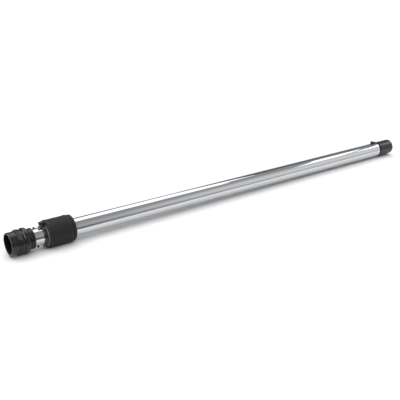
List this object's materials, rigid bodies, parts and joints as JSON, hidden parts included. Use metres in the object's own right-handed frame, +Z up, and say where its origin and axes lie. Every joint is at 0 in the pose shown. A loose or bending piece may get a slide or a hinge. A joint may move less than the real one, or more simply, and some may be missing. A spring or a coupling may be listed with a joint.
{
  "type": "telescopic vacuum cleaner tube",
  "caption": "Telescopic chrome suction tube with a ribbed hose connector, a spring-loaded sliding lock sleeve and a latched nozzle spigot, pushed together.",
  "frame": {"origin": "on the ground under the middle of the tube, pushed together", "axes": "+X along the tube from the hose mouth to the nozzle end, +Z up, through the lock roller"},
  "size_m": [1.01, 0.0518, 0.0518],
  "materials": {
    "chrome": "bright chrome plated steel tube",
    "black_plastic": "black moulded plastic, satin",
    "grip_plastic": "black moulded plastic with a fine matt grain",
    "black_rubber": "soft black rubber",
    "guide_plastic": "light grey bearing plastic",
    "steel": "bright spring and roller steel"
  },
  "bodies": {
    "outer": {"outer_tube": "chrome", "guide_bush": "guide_plastic", "front_collar": "black_plastic", "wiper_seal": "black_rubber", "spring_retainer": "steel", "return_spring": "steel", "nozzle_spigot": "black_plastic", "latch_spring": "steel"},
    "inner": {"inner_tube": "chrome", "hose_connector": "black_plastic", "lip_seal": "black_rubber", "tail_guide": "guide_plastic"},
    "sleeve": {"lock_sleeve": "grip_plastic", "sleeve_end_ring": "grip_plastic"},
    "roller": {"lock_roller": "steel"},
    "latch": {"latch_button": "black_plastic"}
  },
  "joints": [
    {"name": "telescope_slide", "type": "slide", "parent": "outer", "child": "inner", "axis": [-1, 0, 0], "range_m": [0, 0.72]},
    {"name": "sleeve_slide", "type": "slide", "parent": "outer", "child": "sleeve", "axis": [1, 0, 0], "range_m": [0, 0.008], "stiffness_N_per_m": 1500, "springref_m": -0.006, "deforming": ["return_spring"]},
    {"name": "roller_lift", "type": "slide", "parent": "outer", "child": "roller", "axis": [0, 0, 1], "range_m": [0, 0.0016]},
    {"name": "latch_press", "type": "slide", "parent": "outer", "child": "latch", "axis": [0, 0, -1], "range_m": [0, 0.0045], "stiffness_N_per_m": 800, "springref_m": -0.004, "deforming": ["latch_spring"]}
  ],
  "couplings": [
    {"joint": "roller_lift", "follows": "sleeve_slide", "ratio": 0.2}
  ]
}
